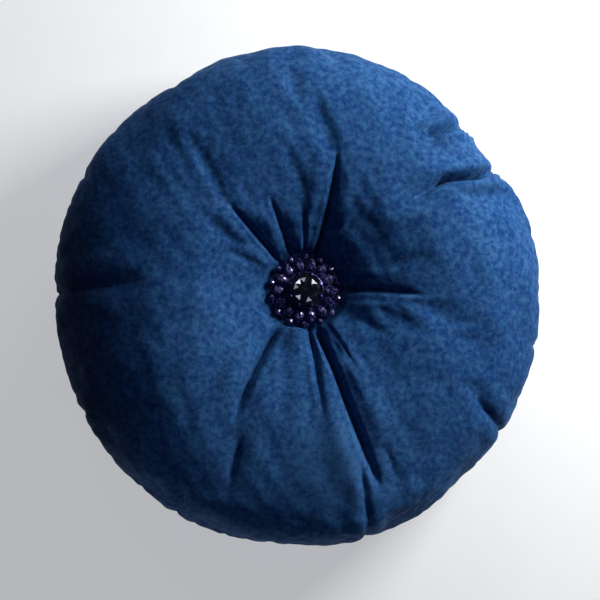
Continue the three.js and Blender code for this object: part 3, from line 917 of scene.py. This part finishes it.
def ladder_stitches():
    """The hand stitches that close the stuffing opening: short steps across the seam's valley."""
    tubes = []
    ring = -3
    spokes = np.arange(round(SPOKES * 44 / 360), round(SPOKES * 84 / 360), 2)
    for k, spoke in enumerate(spokes):
        a, b = front_panel.points[ring, spoke], back_panel.points[ring, (spoke + (k % 2)) % SPOKES]
        out = (a + b) / 2
        out = out / np.linalg.norm(out[:2]) * np.array([1, 1, 0])
        path = [a - out * 0.5, a + out * 0.12, (a + b) / 2 + out * 0.1, b + out * 0.12, b - out * 0.5]
        tubes.append(tube(ease(resampled(path, range(5), np.linspace(0, 4, 13))), 0.26, 7))
    return joined_tubes("closing_ladder_stitches", tubes)


finish(ladder_stitches(), "cushion", "navy_thread", "closing_stitches")


# ---- inner case and stuffing
def inner_rings(panel, depth, from_seam):
    """Every fourth ring and spoke of a surface inside a panel, drawn in clear of the seam allowance."""
    points = panel.within(depth)
    half = panel.half
    draw_in = 7.5 * (1 - smoothstep(0, 34, half.to_seam))
    points = points - half.radial * draw_in[..., None]
    keep = [i for i in range(0, len(points), 4) if half.to_seam[i, 0] > from_seam]
    return [points[i, ::4] for i in keep]


def case_panel(name, panel):
    """One calico panel: its outside, its edge by the seam, and its inside."""
    outer = inner_rings(panel, CASE_DEPTH, 6)
    inner = inner_rings(panel, CASE_DEPTH + CALICO_THICK, 6)
    edge = seam_line(190.2, panel.half.side * 0.3)[::4]
    lip = seam_line(189.4, panel.half.side * 0.3)[::4]
    return closed_rings(name, [*outer, edge, lip, *reversed(inner)])


for side, panel in PANELS.items():
    finish(case_panel(f"calico_case_{side}", panel), "cushion", "calico", f"inner_case_{side}")
case_stitching = running_stitch("case_stitching", 189.8, 0.25, 3.0, 0.02)
finish(case_stitching, "cushion", "white_thread", "inner_case_seam_thread")


def stuffing():
    """The filling, just clear of the case, with a hole for the twine."""
    depth = CASE_DEPTH + CALICO_THICK + 0.4
    top, bottom = inner_rings(front_panel, depth, 14), inner_rings(back_panel, depth, 14)
    for rings in (top, bottom):
        rings[0] = drawn_in(rings[0], 3.2 / HOLE_R)
    return closed_rings("hollow_fibre_stuffing", [*top, *reversed(bottom)])


fill = finish(stuffing(), "cushion", "fibre", "fibre_fill")


# ---- tufting twine
TWINE_R, CORD_R = 0.6, 2.2  # one twine, and the cord that the needle's passes make


def bight(node, up):
    """The path of a twine's bight, from its CAD box: two legs and a turn."""
    low, high = mm_box(node)
    reach = (high[0] - low[0]) / 2 - TWINE_R
    end, turn = (low[2], high[2] - TWINE_R - reach) if up > 0 else (high[2], low[2] + TWINE_R + reach)
    path = [(-reach, 0, end), (-reach, 0, turn)]
    for a in np.linspace(0.2, math.pi - 0.2, 12):
        path.append((-reach * math.cos(a), 0, turn + up * reach * math.sin(a)))
    return path + [(reach, 0, turn), (reach, 0, end)]


front_bight = joined_tubes("front_bight", rope(bight("front_twine_loop", 1), TWINE_R))
back_bight = joined_tubes("back_bight", rope(bight("back_twine_loop", -1), TWINE_R))
finish(front_bight, "jewel_button", "twine", "front_twine_loop")
finish(back_bight, "back_button", "twine", "back_twine_loop")
core = rope([(0, 0, z) for z in heights("tufting_twine")], CORD_R, plies=4, pitch=16)
finish(joined_tubes("tufting_cord", core), "cushion", "twine", "tufting_twine")


def knot():
    """The knot that draws both buttons together: two close turns of twine with a crossing."""
    middle = sum(heights("twine_knot")) / 2
    path = []
    for a in np.linspace(0, 4 * np.pi, 90):
        path.append((3.7 * math.cos(a), 3.7 * math.sin(a), middle + 0.62 * math.cos(a / 2)))
    return joined_tubes("twine_knot_turns", rope(path, TWINE_R))


finish(knot(), "cushion", "twine", "twine_knot")


# ---- velvet back button
def back_button():
    """Velvet stretched over a domed shell, with small gathers where it is drawn in underneath."""
    low, high = heights("back_button_velvet")
    radius, edge, depth = BACK_BUTTON_R, high - 2.6, high - 2.6 - low
    theta = np.linspace(0, 2 * np.pi, 120, endpoint=False)
    gather = 0.22 * waves(theta, 31, 16, 30)
    rings = []
    for degrees in np.linspace(1, 90, 22):
        a = math.radians(degrees)
        r = radius * math.sin(a) + gather * smoothstep(50, 90, degrees)
        rings.append((r, edge - depth * math.cos(a)))
    for inward, up in ((0.3, 1.2), (1.2, 2.1), (2.6, 2.6), (5.5, 2.6), (5.5, 1.4)):
        rings.append((radius - inward + gather, edge + up))
    rings.append((radius - 1.9, edge + 1.4))
    for degrees in np.linspace(90, 2, 12):
        a = math.radians(degrees)
        rings.append(((radius - 1.2) * math.sin(a), edge - (depth - 1.2) * math.cos(a)))
    return closed_rings("back_button_cover", [level_ring(r, theta, z) for r, z in rings], capped=True)


back_button_cover = finish(back_button(), "back_button", "velvet", "back_button_velvet")
for node in ("back_button_shell", "back_button_plate", "back_button_eye"):
    dress(node, "aluminium")


# ---- jewelled rosette
PETALS, CLAWS = 14, 8
GALLERY_TOP = heights("petal_gallery")[1]
BEAD_RING_R, BEAD_RING_Z = mm_box("bead_wire")[1][0] - 0.4, sum(heights("bead_wire")) / 2


def felt_disc():
    """The felt that keeps the metal off the velvet."""
    low, high = heights("rosette_felt")
    profile = [(4, low), (12, low), (23.8, low), (24, high - 0.3), (23.6, high), (12, high), (4, high)]
    return turned("rosette_felt_disc", profile, 120, wobble=0.06)


def back_plate():
    """The plate that carries the rosette, with a rolled edge."""
    low, high = heights("rosette_plate")
    r = mm_box("rosette_plate")[1][0]
    profile = [(1.5, low), (r - 1.2, low), (r - 0.4, low + 0.15), (r, low + 0.55)]
    profile += [(r - 0.1, high - 0.25), (r - 0.5, high), (r - 2.4, high), (1.5, high)]
    return turned("rosette_back_plate", profile, 112)


def gallery():
    """The flat gallery, with a lobe under each petal."""
    low, high = heights("petal_gallery")
    profile = [(1.5, low), (22.6, low), (22.9, low + 0.2), (22.9, high - 0.2), (22.6, high), (1.5, high)]
    return turned("lobed_gallery", profile, 224, lobes=(PETALS, 1.4, 5))


finish(felt_disc(), "jewel_button", "felt", "rosette_felt")
finish(back_plate(), "jewel_button", "gunmetal", "rosette_plate")
finish(gallery(), "jewel_button", "gunmetal", "petal_gallery")
dress("rosette_eye", "gunmetal")


def stone_cup():
    """The cup that the centre stone sits in, with claws bent over the stone."""
    z, high = heights("stone_cup")
    rim = high - 2.3
    profile = [(1.5, z), (11.4, z), (12.1, z + 0.3), (13.6, z + 2.0), (14.35, z + 3.4), (14.55, z + 4.6)]
    profile += [(14.6, rim - 0.5), (14.45, rim), (13.75, rim), (13.6, rim - 0.4), (13.6, rim - 1.6)]
    profile += [(11, rim - 2.9), (10.4, z + 0.6), (1.5, z + 0.6)]
    cup = turned("cup_wall", profile, 112)
    bm = bmesh.new()
    bm.from_mesh(cup.data)
    bpy.data.objects.remove(cup, do_unlink=True)
    claw = [(13.75, -0.4), (14.95, -0.4), (15.0, 0.7), (14.3, 1.7), (12.9, 2.3)]
    claw = np.array(claw + [(12.3, 2.1), (12.25, 1.6), (13.2, 0.9), (13.75, 0.2)])
    middle = claw.mean(0)
    for k in range(CLAWS):
        turn = Matrix.Rotation(2 * math.pi * (k + 0.5) / CLAWS, 3, "Z")
        sides = []
        for y, grow in ((-0.8, 1.0), (-0.55, 1.14), (0.55, 1.14), (0.8, 1.0)):
            ring = [turn @ Vector((x, y, rim + h)) for x, h in middle + (claw - middle) * grow]
            sides.append([bm.verts.new(v * MM) for v in ring])
        for a, b in zip(sides, sides[1:]):
            for i in range(len(a)):
                j = (i + 1) % len(a)
                bm.faces.new([a[i], a[j], b[j], b[i]])
        bm.faces.new(sides[0])
        bm.faces.new(sides[-1][::-1])
    bmesh.ops.recalc_face_normals(bm, faces=bm.faces)
    return object_from(bm, "claw_cup")


finish(stone_cup(), "jewel_button", "gunmetal", "stone_cup")


def ring_points(radius, z, count, turn=0.0):
    angles = 2 * np.pi * (np.arange(count) + turn) / count
    return [(radius * math.cos(a), radius * math.sin(a), z) for a in angles]


KITES = 12
STONE_R, TABLE_R, STAR_R = 13.2, 6.0, 9.9
CROWN_TILT = math.radians(21)
# The height at which the crown's facets meet the girdle.
GIRDLE_Z = heights("centre_stone")[1] - (STONE_R - TABLE_R) * math.tan(CROWN_TILT)


def centre_stone():
    """A round brilliant: a flat table, a ring of kites with stars between them, and a stepped pavilion."""
    low, high = heights("centre_stone")
    star_z = GIRDLE_Z + (STONE_R - STAR_R * math.cos(math.pi / KITES)) * math.tan(CROWN_TILT)
    points = ring_points(3, low, KITES) + ring_points(8.2, low + 1.5, KITES, 0.5)
    for z in (GIRDLE_Z - 1.8, GIRDLE_Z - 1.1):
        points += ring_points(STONE_R, z, 2 * KITES, 1)
    points += ring_points(STAR_R, star_z, KITES) + ring_points(TABLE_R, high, KITES, 0.5)
    return cut_stone("round_cut_stone", points, 0.08)


finish(centre_stone(), "jewel_button", "black_jewel", "centre_stone")


PETAL_SIDES, PETAL_RING_R = 10, 20.9
PETAL_LONG, PETAL_WIDE = 5.45, 3.95  # half the length and half the width


def spot(radius, angle, z):
    """A place on a ring round +Z, turned to face outwards."""
    place = Vector((radius * math.cos(angle), radius * math.sin(angle), z)) * MM
    return Matrix.Translation(place) @ Matrix.Rotation(angle, 4, "Z")


def petal_stone(index):
    """A facetted oval stone that lies over its gallery lobe."""
    angle = 2 * math.pi * index / PETALS
    points = []
    for scale, z, turn in ((0.4, 0.2, 0), (1, 1.5, 0), (1, 1.95, 0), (0.76, 3.25, 0.5), (0.42, 4.1, 0)):
        for k in range(PETAL_SIDES):
            a = 2 * math.pi * (k + turn) / PETAL_SIDES
            narrow = 1 - 0.18 * abs(math.cos(a)) ** 3
            points.append((math.cos(a) * scale * PETAL_LONG, math.sin(a) * scale * PETAL_WIDE * narrow, z))
    obj = cut_stone(f"petal_{index + 1:02d}", points, 0.07)
    base = GALLERY_TOP + 0.75
    random = np.random.default_rng(60 + index)
    tip_down = Matrix.Rotation(math.radians(7 + random.uniform(-2.5, 2.5)), 4, "Y")
    roll = Matrix.Rotation(math.radians(random.uniform(-5, 5)), 4, "X")
    obj.data.transform(spot(PETAL_RING_R, angle, base) @ tip_down @ roll)
    return obj


def rim_bead(index):
    """A drilled, facetted bead on the wire between two petals' tips."""
    angle = 2 * math.pi * (index + 0.5) / PETALS
    profile = [(0.75, -2.35), (1.15, -2.55), (1.9, -2.2), (2.5, -1.25), (2.78, -0.3)]
    profile += [(r, -z) for r, z in reversed(profile)]
    obj = turned(f"bead_{index + 1:02d}", profile, 10, smooth=False)
    lie = Matrix.Rotation(math.pi / 2, 4, "X")
    spin = Matrix.Rotation(np.random.default_rng(90 + index).uniform(0, math.pi), 4, "Z")
    obj.data.transform(spot(BEAD_RING_R, angle, BEAD_RING_Z) @ lie @ spin)
    return obj


for k in range(PETALS):
    finish(petal_stone(k), "jewel_button", "indigo_jewel", f"petal_stone_{k + 1:02d}")
    finish(rim_bead(k), "jewel_button", "indigo_jewel", f"rim_bead_{k + 1:02d}")

wire_angles = np.linspace(0, 2 * np.pi, 168, endpoint=False)
wire = tube(level_ring(BEAD_RING_R, wire_angles, BEAD_RING_Z), 0.38, 8, closed=True)
finish(mesh_from("bead_ring_wire", *wire), "jewel_button", "gunmetal", "bead_wire")


# ---- floor, light and camera
FLOOR_SIZE = 60.0  # metres to each side, so that low views don't show its edge


def floor():
    """A plain pale floor. It glows a little, so that it stays pale in the cushion's shadow."""
    bm = bmesh.new()
    bmesh.ops.create_grid(bm, x_segments=1, y_segments=1, size=FLOOR_SIZE)
    obj = object_from(bm, "floor")
    m = Nodes("pale_floor")
    grain = m.noise(40, 3.0)
    m.set(Base_Color=m.mix(grain, (0.46, 0.46, 0.46), (0.50, 0.50, 0.50)), Roughness=0.9)
    m.set(Emission_Color=(0.98, 0.99, 1.0, 1), Emission_Strength=0.45)
    obj.data.materials.append(m.material)


def area_light(name, azimuth, elevation, distance, size, watts, color, target=(0, 0, 0.07)):
    """A square soft light. Azimuth is anticlockwise from +X, as the front is looked at."""
    data = bpy.data.lights.new(name, "AREA")
    data.size, data.energy, data.color = size, watts, color
    obj = add_object(name, data)
    a, e = math.radians(azimuth), math.radians(elevation)
    away = Vector((math.cos(a) * math.cos(e), math.sin(a) * math.cos(e), math.sin(e)))
    obj.location = Vector(target) + away * distance
    obj.rotation_euler = away.to_track_quat("Z", "Y").to_euler()


TILT = math.radians(8)  # the camera stands a little to the lower left of straight above
toward = Vector((-math.sin(TILT) * math.sqrt(0.5), -math.sin(TILT) * math.sqrt(0.5), math.cos(TILT)))


def glint_light(facet_azimuth, watts):
    """A small lamp where the centre stone's crown facet at this azimuth mirrors it to the camera."""
    a = math.radians(facet_azimuth)
    lean = math.sin(CROWN_TILT)
    facet = Vector((lean * math.cos(a), lean * math.sin(a), math.cos(CROWN_TILT)))
    away = 2 * facet.dot(toward) * facet - toward
    azimuth, elevation = math.degrees(math.atan2(away.y, away.x)), math.degrees(math.asin(away.z))
    color, stone = (0.95, 0.96, 1.0), (0, 0, 0.095)
    area_light(f"glint_{facet_azimuth}", azimuth, elevation, 1.0, 0.08, watts, color, stone)


floor()
area_light("key", 34, 27, 0.8, 0.34, 11.3, (1.0, 0.99, 0.97))
area_light("rim", 78, 9, 0.9, 0.3, 2.8, (0.88, 0.97, 1.0))
for facet_azimuth, watts in ((135, 0.26), (105, 0.07), (45, 0.20), (165, 0.05), (225, 0.10), (285, 0.07)):
    glint_light(facet_azimuth, watts)

world = bpy.data.worlds.new("studio")
scene.world = world
world.use_nodes = True
background = world.node_tree.nodes["Background"].inputs
background["Color"].default_value = (0.15, 0.4, 1.0, 1)
background["Strength"].default_value = 0.065
scene.view_settings.view_transform = "Standard"

AIM = Vector((-0.9, -4.5, 58)) * MM
DISTANCE = 1.45
SENSOR, VIEW_WIDTH = 36, 0.4886  # the picture's width: on the sensor in mm, and at the cushion in metres
data = bpy.data.cameras.new("camera")
camera = add_object("camera", data)
camera.location = AIM + toward * DISTANCE
right = Vector((0, 1, 0)).cross(toward).normalized()
camera.rotation_euler = Matrix((right, toward.cross(right), toward)).transposed().to_euler()
data.sensor_width = SENSOR
data.lens = SENSOR * DISTANCE / VIEW_WIDTH
data.clip_start, data.clip_end = 0.05, 200
scene.camera = camera
